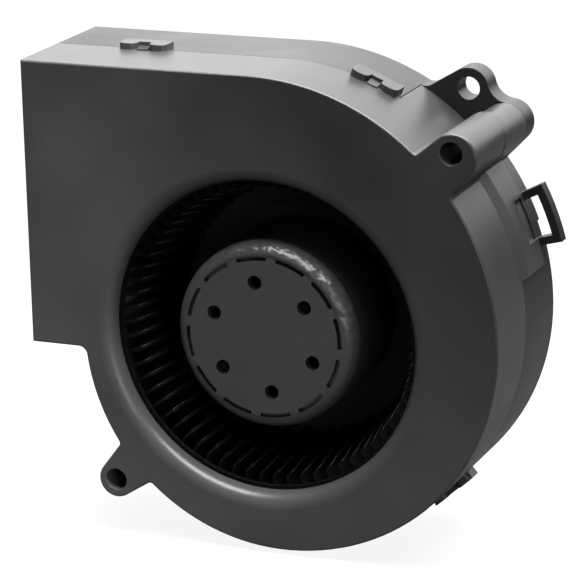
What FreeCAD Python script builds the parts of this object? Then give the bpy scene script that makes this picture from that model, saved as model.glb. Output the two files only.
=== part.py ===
import FreeCAD, Part
import math
import os

# Forward-curved centrifugal blower with a moulded two-piece scroll housing and
# an outer-rotor direct-current motor inside the impeller hub.
# Millimetres. X is right and Z is up as seen from the inlet side, Y runs from
# the inlet face to the rear mounting plane. The origin lies on the rotor axis
# in the rear mounting plane, so every part of the blower has Y of 0 or less.

# Housing
case_depth = 56.0
seam_from_front = 28.0
wall = 2.4
front_plate = 2.2
rear_floor = 3.0

# Scroll: three quarter arcs, whose centres step round a square
outlet_x = -81.2
outlet_top_z = 86.7
outlet_floor_z = -8.1
arc_step = 7.2
top_arc_centre = (-1.4, 4.5)
top_arc_radius = outlet_top_z - top_arc_centre[1]
side_arc_centre = (top_arc_centre[0] + arc_step, top_arc_centre[1])
side_arc_radius = top_arc_radius - arc_step
low_arc_centre = (side_arc_centre[0], side_arc_centre[1] - arc_step)
low_arc_radius = side_arc_radius - arc_step
tongue_radius = 3.0
edge_round = 0.7

# Seam between the two halves
seam_gap = 0.3
tongue_height = 1.6
tongue_clearance = 0.2
apron_angles = (10.6, 60.6)
band_thickness = 1.0
band_lap = 2.0
band_rise = 6.0
band_end_angle = 36.0

# Fastening lugs and the rear ear
screw_hole_radius = 3.75
low_lug_hole = (-52.4, -53.0)
low_lug_radius = 6.2
low_lug_foot_angles = (213.8, 227.4)
high_lug_hole = (65.8, 66.5)
high_lug_shift = (0.5, -1.5)
high_lug_radius = 7.8
high_lug_length = 32.0
high_lug_foot_angles = (35.8, 47.5)
pillar_shift = (1.2, -1.7)
pillar_radius = 7.3
foot_round = 1.5
ear_hole = (54.8, 76.1)
ear_radius = 6.7
ear_thickness = 8.0
ear_foot_angle = 59.5
ear_foot_round = 4.0
ear_pillar_blend = 7.0

# Snap clips across the seam
clip_length = 16.8
clip_height = 2.2
clip_leg_length = 6.1
clip_leg_reach = 3.4
clip_nose_round = 2.2
clip_bar_depth = 3.4
clip_bar_gap = 0.6
catch_length = 3.8
catch_height = 1.05
catch_foot = 0.4
catch_start = 0.1
catch_lead = 3.2
catch_tail = 2.5
catch_play = 0.1
catch_fall = 0.2
top_clip_x = -49.5
right_clip_angle = 67.2
low_clip_angle = -48.7
hidden_clip_angle = -108.0

# Cable guide loop and cable channel
loop_angles = (14.6, 27.3)
loop_reach = 7.8
loop_bar = 2.8
loop_front_from_rear = 6.0
loop_rear_from_rear = 2.0
loop_recess_angles = (16.8, 26.8)
loop_recess_length = 8.2
loop_recess_depth = 1.6
cable_angle = 21.0
channel_width = 6.0
channel_depth = 1.8

# Inlet
throat_radius = 52.0
lip_round = 4.8
lip_land = 1.0

# Impeller: the drum's blades stand on a back disc that is one piece with the hub
hub_face_from_front = 4.0
hub_wall = 2.4
hub_edge_round = 5.0
hub_plate = 1.8
hub_hole_count = 6
hub_hole_radius = 2.4
hub_hole_circle = 18.3
hub_hole_start_angle = 38.0
hub_slot_count = 12
hub_slot_from_rim = 4.7
hub_slot_width = 1.4
hub_slot_span_angle = 20.0
hub_slot_start_angle = 8.0
disc_thickness = 2.0
disc_gap = 5.0
disc_rim = 0.8
disc_step_radius = 36.0
disc_step = 1.0
blade_count = 64
blade_root_radius = 42.2
blade_inner_radius = 48.4
blade_outer_radius = 54.0
blade_inlet_angle = -57.0
blade_outlet_angle = 30.0
blade_thickness = 0.9
blade_front_from_front = 8.0
ring_rim = 1.2
ring_width = 4.2
ring_thickness = 1.4

# Rotor cup and magnet
cup_radius = 28.6
cup_sheet = 1.4
cup_edge_round = 2.2
cup_rim_gap = 0.5
cup_vent_radius = 2.1
magnet_thickness = 2.8
magnet_front_gap = 5.2
magnet_rear_gap = 4.5

# Stator
air_gap = 0.6
magnet_overhang = 4.0
slot_count = 6
pole_depth = 10.3
tooth_width = 4.5
shoe_thickness = 2.2
shoe_span_angle = 50.0
coil_build = 3.7
coil_overhang = 4.0
coil_clearance = 0.2
coil_corner_round = 2.2
insulator_thickness = 1.2
insulator_collar = 0.8
insulator_setback = 0.5
insulator_clearance = 0.1
post_radius = 1.3
post_count = 3

# Motor flange and bearing tube
flange_land = 8.3
flange_thickness = 3.0
flange_clearance = 0.3
plug_radius = 33.7
flange_boss_wall = 2.8
flange_boss_height = 4.0
flange_web = 2.2
tube_wall = 2.0
tube_rim = 0.3
tube_rear_gap = 0.8
tube_shoulder = 1.1
screw_from_plug = 4.7
screw_count = 4
screw_first_angle = 45.0
screw_radius = 1.45
screw_hole_clearance = 0.2
screw_head_radius = 2.9
screw_head_height = 1.6
drive_recess_radius = 0.9
drive_recess_depth = 0.8

# Bearings and shaft
shaft_radius = 2.5
bearing_radius = 8.0
bearing_side = 1.2
bearing_race = 1.4
ball_count = 7
ball_clearance = 0.05
rear_bearing_inset = 4.0
shield_thickness = 0.3
shield_lap = 0.4
cage_half_width = 0.75
cage_back = 0.3
cage_front = 0.3
pocket_clearance = 0.08
spring_space = 1.0
spring_clearance = 0.1
bush_radius = 6.2
bush_flange = 1.6
bush_spigot_wall = 1.5
bush_nose_wall = 1.2
bush_nose_length = 1.2
washer_wall = 1.9
washer_thickness = 0.6
clip_ring_wall = 2.2
clip_ring_thickness = 0.6
clip_ring_groove = 0.4
clip_ring_mouth = 2.8
shaft_end_reach = 0.6

# Circuit board
board_thickness = 1.6
board_rim_gap = 2.2
board_hole_clearance = 0.5
board_part_gap = 0.9
chip_size = (6.0, 5.0, 1.6)
chip_from_rim = 6.0
capacitor_radius = 2.5
capacitor_height = 3.9
sensor_size = (4.0, 1.5, 3.0)
sensor_gap = 0.8

# Cable entry
entry_circle = 20.5
entry_radius = 3.0
grommet_bore = 1.8
grommet_lip = 0.9
grommet_lip_height = 0.8

# Sizes that follow from other sizes
high_lug_centre = (high_lug_hole[0] + high_lug_shift[0], high_lug_hole[1] + high_lug_shift[1])
pillar_centre = (high_lug_hole[0] + pillar_shift[0], high_lug_hole[1] + pillar_shift[1])
loop_outer_radius = top_arc_radius + loop_reach
hub_radius = cup_radius + hub_wall
hub_slot_circle = hub_radius - hub_slot_from_rim
disc_radius = blade_outer_radius + disc_rim
ring_outer_radius = blade_outer_radius + ring_rim
magnet_inner_radius = cup_radius - cup_sheet - magnet_thickness
core_radius = magnet_inner_radius - air_gap
yoke_radius = core_radius - pole_depth
post_circle = core_radius - shoe_thickness / 2 - insulator_setback
tube_radius = bearing_radius + tube_wall
flange_boss_radius = tube_radius + flange_boss_wall
flange_radius = plug_radius + flange_land
screw_circle = plug_radius + screw_from_plug
race_inner_radius = shaft_radius + bearing_race
race_outer_radius = bearing_radius - bearing_race
ball_circle = (race_inner_radius + race_outer_radius) / 2
ball_radius = (race_outer_radius - race_inner_radius) / 2 - ball_clearance
bearing_width = 2 * (ball_radius + bearing_side)
bush_spigot_radius = shaft_radius + bush_spigot_wall
board_radius = cup_radius - cup_sheet - board_rim_gap
chip_circle = board_radius - chip_from_rim
board_hole_radius = flange_boss_radius + board_hole_clearance
sensor_circle = magnet_inner_radius - sensor_gap

# Places along the axis, from the front and from the rear face
front_y = -case_depth
seam_y = front_y + seam_from_front
apron_end_y = -ear_thickness - seam_gap
flange_face_y = -rear_floor - flange_thickness
disc_rear_y = flange_face_y - disc_gap
disc_front_y = disc_rear_y - disc_thickness
disc_step_y = disc_front_y - disc_step
hub_face_y = front_y + hub_face_from_front
blade_front_y = front_y + blade_front_from_front
cup_face_y = hub_face_y + hub_plate
cup_rim_y = disc_step_y - cup_rim_gap
magnet_front_y = cup_face_y + magnet_front_gap
magnet_rear_y = cup_rim_y - magnet_rear_gap
core_front_y = magnet_front_y + magnet_overhang
core_rear_y = magnet_rear_y - magnet_overhang
front_bearing_y = cup_face_y + cup_sheet + bush_flange + bush_nose_length
tube_front_y = front_bearing_y - tube_rim
tube_rear_y = -flange_web - tube_rear_gap
rear_bearing_y = tube_rear_y - rear_bearing_inset - bearing_width
washer_y = rear_bearing_y + bearing_width
clip_ring_y = washer_y + washer_thickness
shaft_rear_y = clip_ring_y + clip_ring_thickness + shaft_end_reach
board_rear_y = flange_face_y - board_part_gap - capacitor_height
board_front_y = board_rear_y - board_thickness

# How far a cutting shape runs past what it cuts
past = 1.0

os.makedirs("parts", exist_ok=True)


# Drawing helpers

def polar(centre, radius, degrees):
    a = math.radians(degrees)
    return (centre[0] + radius * math.cos(a), centre[1] + radius * math.sin(a))


def vec(point, y):
    return FreeCAD.Vector(point[0], y, point[1])


def line(p, q):
    return Part.makeLine(vec(p, 0), vec(q, 0))


def arc(centre, radius, start, end):
    points = [polar(centre, radius, a) for a in (start, (start + end) / 2, end)]
    return Part.Arc(*[vec(p, 0) for p in points]).toShape()


def prism(edges, y0, y1):
    face = Part.Face(Part.Wire(Part.__sortEdges__(edges)))
    solid = face.extrude(FreeCAD.Vector(0, y1 - y0, 0))
    solid.translate(FreeCAD.Vector(0, y0, 0))
    return solid


def rod(centre, radius, y0, y1):
    return Part.makeCylinder(radius, y1 - y0, vec(centre, y0), FreeCAD.Vector(0, 1, 0))


def tube(inner, outer, y0, y1, centre=(0, 0)):
    return rod(centre, outer, y0, y1).cut(rod(centre, inner, y0 - past, y1 + past))


def ring_sector(centre, inner, outer, start, end, y0, y1):
    edges = [
        arc(centre, outer, start, end),
        line(polar(centre, outer, end), polar(centre, inner, end)),
        arc(centre, inner, end, start),
        line(polar(centre, inner, start), polar(centre, outer, start)),
    ]
    return prism(edges, y0, y1)


def arc_slot(centre, radius, width, middle, span, y0, y1):
    start = middle - span / 2
    end = middle + span / 2
    slot = ring_sector(centre, radius - width / 2, radius + width / 2, start, end, y0, y1)
    ends = [rod(polar(centre, radius, a), width / 2, y0, y1) for a in (start, end)]
    return slot.multiFuse(ends).removeSplitter()


def turned(corners):
    points = [FreeCAD.Vector(r, y, 0) for r, y in corners + corners[:1]]
    face = Part.Face(Part.makePolygon(points))
    return face.revolve(FreeCAD.Vector(0, 0, 0), FreeCAD.Vector(0, 1, 0), 360)


def turned_edges(edges):
    face = Part.Face(Part.Wire(Part.__sortEdges__(edges)))
    return face.revolve(FreeCAD.Vector(0, 0, 0), FreeCAD.Vector(0, 1, 0), 360)


def profile_line(p, q):
    return Part.makeLine(FreeCAD.Vector(p[0], p[1], 0), FreeCAD.Vector(q[0], q[1], 0))


def profile_arc(centre, radius, start, end):
    points = [polar(centre, radius, a) for a in (start, (start + end) / 2, end)]
    return Part.Arc(*[FreeCAD.Vector(r, y, 0) for r, y in points]).toShape()


def spun(shape, degrees, centre=(0, 0)):
    # Seen from the inlet, positive degrees turn anticlockwise, from X towards Z
    copy = shape.copy()
    copy.rotate(vec(centre, 0), FreeCAD.Vector(0, -1, 0), degrees)
    return copy


def repeated(shape, count, start=0.0):
    return [spun(shape, start + 360.0 * k / count) for k in range(count)]


def block(x0, x1, y0, y1, z0, z1):
    corner = FreeCAD.Vector(x0, y0, z0)
    return Part.makeBox(x1 - x0, y1 - y0, z1 - z0, corner)


def stood_on(shape, foot, degrees):
    # A shape drawn with Z as its outward direction is set on a wall point
    copy = shape.copy()
    copy.rotate(FreeCAD.Vector(0, 0, 0), FreeCAD.Vector(0, -1, 0), degrees - 90.0)
    copy.translate(vec(foot, 0))
    return copy


def save(name, solids):
    shape = solids[0] if len(solids) == 1 else Part.makeCompound(solids)
    if not shape.isValid():
        raise ValueError(name + " is not a valid shape")
    shape.exportStep("parts/" + name + ".step")
    volume = sum(solid.Volume for solid in shape.Solids)
    print(name, "solids", len(shape.Solids), "volume", round(volume, 1))


# Scroll outline

def scroll_edges(inset, outlet_reach=0.0):
    left_x = outlet_x - outlet_reach
    top_z = outlet_top_z - inset
    floor_z = outlet_floor_z + inset
    nose_radius = tongue_radius + inset
    nose_z = outlet_floor_z - tongue_radius
    rise = nose_z - low_arc_centre[1]
    run = math.sqrt((low_arc_radius + tongue_radius) ** 2 - rise ** 2)
    nose = (low_arc_centre[0] - run, nose_z)
    nose_angle = math.degrees(math.atan2(rise, -run)) - 360.0
    return [
        line((left_x, floor_z), (left_x, top_z)),
        line((left_x, top_z), (top_arc_centre[0], top_z)),
        arc(top_arc_centre, top_arc_radius - inset, 90, 0),
        arc(side_arc_centre, side_arc_radius - inset, 0, -90),
        arc(low_arc_centre, low_arc_radius - inset, -90, nose_angle % 360.0 - 360.0),
        arc(nose, nose_radius, nose_angle % 360.0 - 180.0, 90),
        line((nose[0], floor_z), (left_x, floor_z)),
    ]


def cavity():
    return prism(scroll_edges(wall, past), front_y + front_plate, -rear_floor)


def half_wall_cut(y0, y1):
    return prism(scroll_edges(wall / 2, past), y0, y1)


# Lugs: circles joined by hollow blends, with straight flanks down to the scroll wall

def blend_centre(first, first_radius, second, second_radius, blend):
    # The hollow lies to the right of the way from the first circle to the second
    dx = second[0] - first[0]
    dz = second[1] - first[1]
    gap = math.hypot(dx, dz)
    a = first_radius + blend
    b = second_radius + blend
    along = (a * a - b * b + gap * gap) / (2 * gap)
    aside = math.sqrt(a * a - along * along)
    ux = dx / gap
    uz = dz / gap
    return (first[0] + ux * along + uz * aside, first[1] + uz * along - ux * aside)


def toward(centre, target, radius):
    dx = target[0] - centre[0]
    dz = target[1] - centre[1]
    reach = math.hypot(dx, dz)
    return (centre[0] + dx * radius / reach, centre[1] + dz * radius / reach)


def angle_of(centre, point):
    return math.degrees(math.atan2(point[1] - centre[1], point[0] - centre[0]))


def tangent_point(outside, centre, radius, side):
    # Side is 1 for the way to a circle kept on the left, -1 for the way back
    gap = math.hypot(centre[0] - outside[0], centre[1] - outside[1])
    turn = math.degrees(math.asin(radius / gap))
    reach = math.sqrt(gap * gap - radius * radius)
    return polar(outside, reach, angle_of(outside, centre) - side * turn)


def lug_edges(wall_centre, wall_radius, circles, feet, blends=()):
    # Circles are (centre, radius) in anticlockwise order round the wall's centre
    first_foot = polar(wall_centre, wall_radius, feet[0])
    last_foot = polar(wall_centre, wall_radius, feet[1])
    arrive = tangent_point(first_foot, circles[0][0], circles[0][1], 1)
    edges = [line(first_foot, arrive)]
    for k, (here, here_radius) in enumerate(circles):
        last = k == len(circles) - 1
        if last:
            leave = tangent_point(last_foot, here, here_radius, -1)
        else:
            there, there_radius = circles[k + 1]
            middle = blend_centre(here, here_radius, there, there_radius, blends[k])
            leave = toward(here, middle, here_radius)
        start = angle_of(here, arrive)
        sweep = (angle_of(here, leave) - start) % 360.0
        edges.append(arc(here, here_radius, start, start + sweep))
        if last:
            edges.append(line(leave, last_foot))
            break
        arrive = toward(there, middle, there_radius)
        start = angle_of(middle, leave)
        sweep = (start - angle_of(middle, arrive)) % 360.0
        edges.append(arc(middle, blends[k], start, start - sweep))
    inner = [toward(wall_centre, foot, wall_radius - wall / 2) for foot in (first_foot, last_foot)]
    edges.append(line(last_foot, inner[1]))
    edges.append(line(inner[1], inner[0]))
    edges.append(line(inner[0], first_foot))
    return edges


def low_lug(y0, y1):
    circles = [(low_lug_hole, low_lug_radius)]
    return prism(lug_edges(low_arc_centre, low_arc_radius, circles, low_lug_foot_angles), y0, y1)


def high_lug(y0, y1):
    circles = [(high_lug_centre, high_lug_radius)]
    return prism(lug_edges(top_arc_centre, top_arc_radius, circles, high_lug_foot_angles), y0, y1)


def pillar(y0, y1):
    circles = [(pillar_centre, pillar_radius)]
    return prism(lug_edges(top_arc_centre, top_arc_radius, circles, high_lug_foot_angles), y0, y1)


def rear_ear():
    circles = [(pillar_centre, pillar_radius), (ear_hole, ear_radius)]
    feet = (high_lug_foot_angles[0], ear_foot_angle)
    edges = lug_edges(top_arc_centre, top_arc_radius, circles, feet, [ear_pillar_blend])
    return prism(edges, -ear_thickness, 0)


def foot_places(wall_centre, wall_radius, feet):
    return [polar(wall_centre, wall_radius, angle) for angle in feet]


def rounded_feet(shape, places, radius):
    # Hollows out the corners that run along Y at the given places
    corners = []
    for edge in shape.Edges:
        box = edge.BoundBox
        if box.XLength < 0.01 and box.ZLength < 0.01 and box.YLength > past:
            near = [math.hypot(box.XMin - x, box.ZMin - z) for x, z in places]
            if min(near) < 0.05:
                corners.append(edge)
    return shape.makeFillet(radius, corners)


# Clips, drawn with X along the seam and Z outwards, seam at its own Y

def clip_places():
    top = ((top_clip_x, outlet_top_z), 90.0)
    right = (polar(top_arc_centre, top_arc_radius, right_clip_angle), right_clip_angle)
    low = (polar(side_arc_centre, side_arc_radius, low_clip_angle), low_clip_angle)
    hidden = (polar(low_arc_centre, low_arc_radius, hidden_clip_angle), hidden_clip_angle)
    return [top, right, low, hidden]


def clip_sagitta():
    return top_arc_radius - math.sqrt(top_arc_radius ** 2 - (clip_length / 2) ** 2)


def clip_loop():
    half = clip_length / 2
    root = -clip_sagitta() - wall / 2
    nose_y = seam_y - clip_leg_reach
    end_y = seam_y + seam_gap + clip_bar_depth
    legs = []
    for side in (-1, 1):
        x0 = min(side * half, side * (half - clip_leg_length))
        leg = block(x0, x0 + clip_leg_length, nose_y, end_y, root, clip_height)
        nose_edges = [e for e in leg.Edges
                      if e.BoundBox.YMax < nose_y + 0.01 and e.BoundBox.XLength < 0.01]
        legs.append(leg.makeFillet(clip_nose_round, nose_edges))
    bar = block(-half, half, end_y - clip_bar_depth, end_y, clip_bar_gap, clip_height)
    return legs[0].multiFuse([legs[1], bar])


def clip_catch():
    half = catch_length / 2
    foot_y = seam_y - catch_lead
    crest_y = seam_y + seam_gap - catch_play
    tail_y = seam_y + seam_gap + clip_bar_depth + catch_tail
    profile = [
        (foot_y, catch_start), (foot_y, catch_foot), (crest_y, catch_height),
        (crest_y, catch_foot), (tail_y, catch_foot - catch_fall),
        (tail_y, -wall / 2), (seam_y, -wall / 2), (seam_y, catch_start),
    ]
    points = [FreeCAD.Vector(-half, y, z) for y, z in profile + profile[:1]]
    face = Part.Face(Part.makePolygon(points))
    return face.extrude(FreeCAD.Vector(catch_length, 0, 0))


# Housing halves

def front_lip():
    mid = (throat_radius + lip_round, front_y + lip_round)
    inner_round = lip_round - front_plate
    rim = mid[0] + past
    end_y = mid[1] + lip_land
    edges = [
        profile_arc(mid, lip_round, 270, 180),
        profile_line((throat_radius, mid[1]), (throat_radius, end_y)),
        profile_line((throat_radius, end_y), (throat_radius + front_plate, end_y)),
        profile_line((throat_radius + front_plate, end_y), (throat_radius + front_plate, mid[1])),
        profile_arc(mid, inner_round, 180, 270),
        profile_line((mid[0], mid[1] - inner_round), (rim, mid[1] - inner_round)),
        profile_line((rim, mid[1] - inner_round), (rim, front_y)),
        profile_line((rim, front_y), (mid[0], front_y)),
    ]
    return turned_edges(edges)


def apron():
    # The outer half of the cover's wall runs back to the ear here, over the inner half
    # of the housing's wall, and its lower part rises to a thicker band
    start, end = apron_angles
    lap_y = seam_y - tongue_height - tongue_clearance
    inside = top_arc_radius - wall / 2
    sheet = ring_sector(top_arc_centre, inside, top_arc_radius, start, end, lap_y, apron_end_y)
    outside = top_arc_radius + band_thickness
    band_y = seam_y - band_lap
    band = turned([(inside, band_y), (top_arc_radius, band_y), (outside, band_y + band_rise),
                   (outside, apron_end_y), (inside, apron_end_y)])
    band.translate(vec(top_arc_centre, 0))
    sector = ring_sector(top_arc_centre, inside - past, outside + past,
                         start, band_end_angle, band_y, apron_end_y)
    return sheet.fuse(band.common(sector))


def loop_recess():
    # Room for a cord to bend up into the guide loop
    start, end = loop_recess_angles
    bottom = top_arc_radius + band_thickness - loop_recess_depth
    return ring_sector(top_arc_centre, bottom, loop_outer_radius, start, end,
                       apron_end_y - loop_recess_length, apron_end_y + past)


def apron_gap():
    # Only the outer half of the wall makes room for the apron, so no gap goes right through
    spread = math.degrees(seam_gap / top_arc_radius)
    start, end = apron_angles
    return ring_sector(top_arc_centre, top_arc_radius - wall / 2 - tongue_clearance,
                       top_arc_radius + 2 * band_thickness, start - spread, end + spread,
                       seam_y - tongue_height - past, apron_end_y + seam_gap)


def front_cover():
    cover_end = seam_y - seam_gap
    body = prism(scroll_edges(0.0), front_y, cover_end)
    body = body.multiFuse([low_lug(front_y, cover_end), high_lug(front_y, cover_end)])
    body = body.removeSplitter()
    feet = foot_places(low_arc_centre, low_arc_radius, low_lug_foot_angles)
    feet += foot_places(top_arc_centre, top_arc_radius, high_lug_foot_angles)
    body = rounded_feet(body, feet, foot_round)
    front_edges = [e for e in body.Edges
                   if e.BoundBox.YMax < front_y + 0.01 and e.Length > 0.1]
    body = body.makeFillet(edge_round, front_edges)
    body = body.cut(cavity())
    tongue_space = half_wall_cut(seam_y - tongue_height - tongue_clearance, 0)
    body = body.cut(tongue_space)
    loops = [stood_on(clip_loop(), foot, angle) for foot, angle in clip_places()]
    rear_space = prism(scroll_edges(0.0), cover_end, 0)
    inner_space = prism(scroll_edges(wall - 0.1, past), front_y + wall, 0)
    loops = [loop.cut([rear_space, inner_space, tongue_space]) for loop in loops]
    lug_end = front_y + high_lug_length
    behind_seam = [high_lug(cover_end, lug_end), pillar(cover_end, apron_end_y)]
    behind_seam = [piece.cut(tongue_space) for piece in behind_seam]
    body = body.multiFuse([apron()] + behind_seam + loops)
    body = body.cut(rod((0, 0), throat_radius + lip_round + past, front_y - past, front_y + wall))
    body = body.fuse(front_lip())
    body = body.cut(loop_recess())
    holes = [rod(hole, screw_hole_radius, front_y - past, past)
             for hole in (low_lug_hole, high_lug_hole)]
    body = body.cut(Part.makeCompound(holes))
    return body.removeSplitter()


def cable_loop():
    y0 = -loop_front_from_rear
    y1 = -loop_rear_from_rear
    start, end = loop_angles
    frame = ring_sector(top_arc_centre, top_arc_radius - wall / 2, loop_outer_radius,
                        start, end, y0, y1)
    bar_angle = math.degrees(loop_bar / loop_outer_radius)
    window = ring_sector(top_arc_centre, top_arc_radius, loop_outer_radius - loop_bar,
                         start + bar_angle, end - bar_angle, y0 - past, y1 + past)
    return frame.cut(window)


def cable_channel():
    reach = 2 * top_arc_radius
    strip = block(entry_circle, reach, -channel_depth, past, -channel_width / 2, channel_width / 2)
    return spun(strip, cable_angle)


def screw_places():
    return [polar((0, 0), screw_circle, screw_first_angle + 360.0 * k / screw_count)
            for k in range(screw_count)]


def countersink(centre, clearance):
    head = Part.makeCone(screw_radius + clearance, screw_head_radius + clearance,
                         screw_head_height, vec(centre, -screw_head_height),
                         FreeCAD.Vector(0, 1, 0))
    return head.fuse(rod(centre, screw_radius + clearance, -rear_floor - past, 0))


def rear_housing():
    body = prism(scroll_edges(0.0), seam_y, 0)
    tongue = prism(scroll_edges(wall / 2 + tongue_clearance), seam_y - tongue_height, seam_y)
    body = body.multiFuse([low_lug(seam_y, 0), rear_ear()]).removeSplitter()
    feet = foot_places(low_arc_centre, low_arc_radius, low_lug_foot_angles)
    body = rounded_feet(body, feet, foot_round)
    body = rounded_feet(body, foot_places(top_arc_centre, top_arc_radius, [ear_foot_angle]),
                        ear_foot_round)
    catches = [stood_on(clip_catch(), foot, angle) for foot, angle in clip_places()]
    body = body.multiFuse([tongue, cable_loop()] + catches)
    body = body.cut(cavity())
    body = body.cut(apron_gap())
    body = body.cut(rod((0, 0), plug_radius + flange_clearance, -rear_floor - past, past))
    body = body.cut(cable_channel())
    holes = [rod(hole, screw_hole_radius, front_y, past)
             for hole in (low_lug_hole, high_lug_hole, ear_hole)]
    sinks = [countersink(place, screw_hole_clearance) for place in screw_places()]
    body = body.cut(Part.makeCompound(holes))
    body = body.cut(Part.makeCompound(sinks))
    return body.removeSplitter()


# Motor carrier

def motor_flange():
    boss_y = flange_face_y - flange_boss_height
    body = turned([
        (tube_radius, boss_y), (flange_boss_radius, boss_y), (flange_boss_radius, flange_face_y),
        (flange_radius, flange_face_y), (flange_radius, -rear_floor), (plug_radius, -rear_floor),
        (plug_radius, 0.0), (0.0, 0.0), (0.0, -flange_web), (bearing_radius, -flange_web),
        (bearing_radius, tube_rear_y), (tube_radius, tube_rear_y),
    ])
    body = body.cut(cable_channel())
    entry = rod(polar((0, 0), entry_circle, cable_angle), entry_radius, flange_face_y - past, past)
    pilots = [rod(place, screw_radius, flange_face_y - past, past) for place in screw_places()]
    return body.cut(Part.makeCompound([entry] + pilots)).removeSplitter()


def cable_grommet():
    place = polar((0, 0), entry_circle, cable_angle)
    body = rod(place, entry_radius, flange_face_y, -channel_depth)
    lip_y = flange_face_y - grommet_lip_height
    lip = rod(place, entry_radius + grommet_lip, lip_y, flange_face_y)
    body = body.fuse(lip)
    bore = rod(place, grommet_bore, lip_y - past, past)
    return body.cut(bore).removeSplitter()


def motor_screws():
    screws = []
    for place in screw_places():
        head = Part.makeCone(screw_radius, screw_head_radius, screw_head_height,
                             vec(place, -screw_head_height), FreeCAD.Vector(0, 1, 0))
        recess = rod(place, drive_recess_radius, -drive_recess_depth, past)
        shank = rod(place, screw_radius, flange_face_y, -screw_head_height)
        screws.append(head.fuse(shank).cut(recess))
    return screws


def bearing_tube():
    front_seat_y = front_bearing_y + bearing_width + spring_space
    shoulder_radius = bearing_radius - tube_shoulder
    return turned([
        (bearing_radius, tube_front_y), (tube_radius, tube_front_y), (tube_radius, tube_rear_y),
        (bearing_radius, tube_rear_y), (bearing_radius, rear_bearing_y),
        (shoulder_radius, rear_bearing_y), (shoulder_radius, front_seat_y),
        (bearing_radius, front_seat_y),
    ])


def preload_spring():
    y0 = front_bearing_y + bearing_width
    inner = bearing_radius - tube_shoulder + spring_clearance
    return tube(inner, bearing_radius - spring_clearance, y0, y0 + spring_space)


# Bearings

def bearing_outer(y0):
    return tube(race_outer_radius, bearing_radius, y0, y0 + bearing_width)


def bearing_inner(y0):
    return tube(shaft_radius, race_inner_radius, y0, y0 + bearing_width)


def bearing_shields(y0):
    inner = race_inner_radius + shield_lap
    places = (y0 + shield_thickness, y0 + bearing_width - 2 * shield_thickness)
    return [tube(inner, race_outer_radius, y, y + shield_thickness) for y in places]


def bearing_balls(y0):
    middle = y0 + bearing_width / 2
    ball = Part.makeSphere(ball_radius, FreeCAD.Vector(ball_circle, middle, 0))
    return repeated(ball, ball_count)


def bearing_cage(y0):
    # A crown: round pockets open towards the front, closed by the web behind the balls
    middle = y0 + bearing_width / 2
    front = middle - cage_front
    pocket_end = middle + ball_radius + pocket_clearance
    body = tube(ball_circle - cage_half_width, ball_circle + cage_half_width,
                front, pocket_end + cage_back)
    pocket = rod((ball_circle, 0), ball_radius + pocket_clearance, front - past, pocket_end)
    return body.cut(Part.makeCompound(repeated(pocket, ball_count)))


# Stator

def stator_core():
    yoke = rod((0, 0), yoke_radius, core_front_y, core_rear_y)
    tooth = block(yoke_radius - past, core_radius - past, core_front_y, core_rear_y,
                  -tooth_width / 2, tooth_width / 2)
    shoe = ring_sector((0, 0), core_radius - shoe_thickness, core_radius,
                       -shoe_span_angle / 2, shoe_span_angle / 2, core_front_y, core_rear_y)
    pole = tooth.fuse(shoe)
    body = yoke.multiFuse(repeated(pole, slot_count))
    body = body.cut(rod((0, 0), tube_radius, core_front_y - past, core_rear_y + past))
    return body.removeSplitter()


def insulator(y0, y1, collar_y):
    coil_inner = yoke_radius + insulator_collar
    low = min(collar_y, y0)
    high = max(collar_y, y1)
    body = tube(yoke_radius, coil_inner, low, high)
    body = body.fuse(tube(tube_radius + insulator_clearance, coil_inner, y0, y1))
    rim_radius = core_radius - shoe_thickness
    arm = block(yoke_radius, rim_radius + past, y0, y1, -tooth_width / 2, tooth_width / 2)
    lip = ring_sector((0, 0), rim_radius, core_radius - insulator_setback,
                      -shoe_span_angle / 2, shoe_span_angle / 2, low, high)
    return body.multiFuse(repeated(arm.fuse(lip), slot_count)).removeSplitter()


def front_insulator():
    return insulator(core_front_y - insulator_thickness, core_front_y,
                     core_front_y - coil_overhang)


def rear_insulator():
    body = insulator(core_rear_y, core_rear_y + insulator_thickness,
                     core_rear_y + coil_overhang)
    post = rod((post_circle, 0), post_radius, core_rear_y, board_front_y)
    return body.multiFuse(repeated(post, post_count)).removeSplitter()


def stator_coils():
    inner = yoke_radius + insulator_collar
    half = tooth_width / 2 + coil_build
    outer = math.sqrt((core_radius - shoe_thickness) ** 2 - half ** 2) - coil_clearance
    front = core_front_y - insulator_thickness
    rear = core_rear_y + insulator_thickness
    overhang = coil_overhang - insulator_thickness - coil_clearance
    winding = block(inner, outer, front - overhang, rear + overhang, -half, half)
    corners = [e for e in winding.Edges if e.BoundBox.XLength > past]
    winding = winding.makeFillet(coil_corner_round, corners)
    core = block(inner - past, outer + past, front, rear, -tooth_width / 2, tooth_width / 2)
    winding = winding.cut(core)
    return repeated(winding, slot_count)


# Circuit board

def circuit_board():
    board = tube(board_hole_radius, board_radius, board_front_y, board_rear_y)
    pad_hole = rod((post_circle, 0), post_radius / 2, board_front_y - past,
                   board_rear_y + past)
    return board.cut(Part.makeCompound(repeated(pad_hole, post_count)))


def driver_chips():
    length, width, height = chip_size
    chip = block(-length / 2, length / 2, board_rear_y, board_rear_y + height,
                 chip_circle - width / 2, chip_circle + width / 2)
    return [spun(chip, a) for a in (-70.0, 0.0, 70.0)]


def capacitors():
    can = rod((chip_circle, 0), capacitor_radius, board_rear_y, board_rear_y + capacitor_height)
    return [spun(can, a) for a in (200.0, 225.0)]


def hall_sensors():
    length, width, height = sensor_size
    sensor = block(sensor_circle - width / 2, sensor_circle + width / 2,
                   board_front_y - height, board_front_y, -length / 2, length / 2)
    return [spun(sensor, a) for a in (40.0, 80.0, 160.0)]


# Rotor

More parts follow.
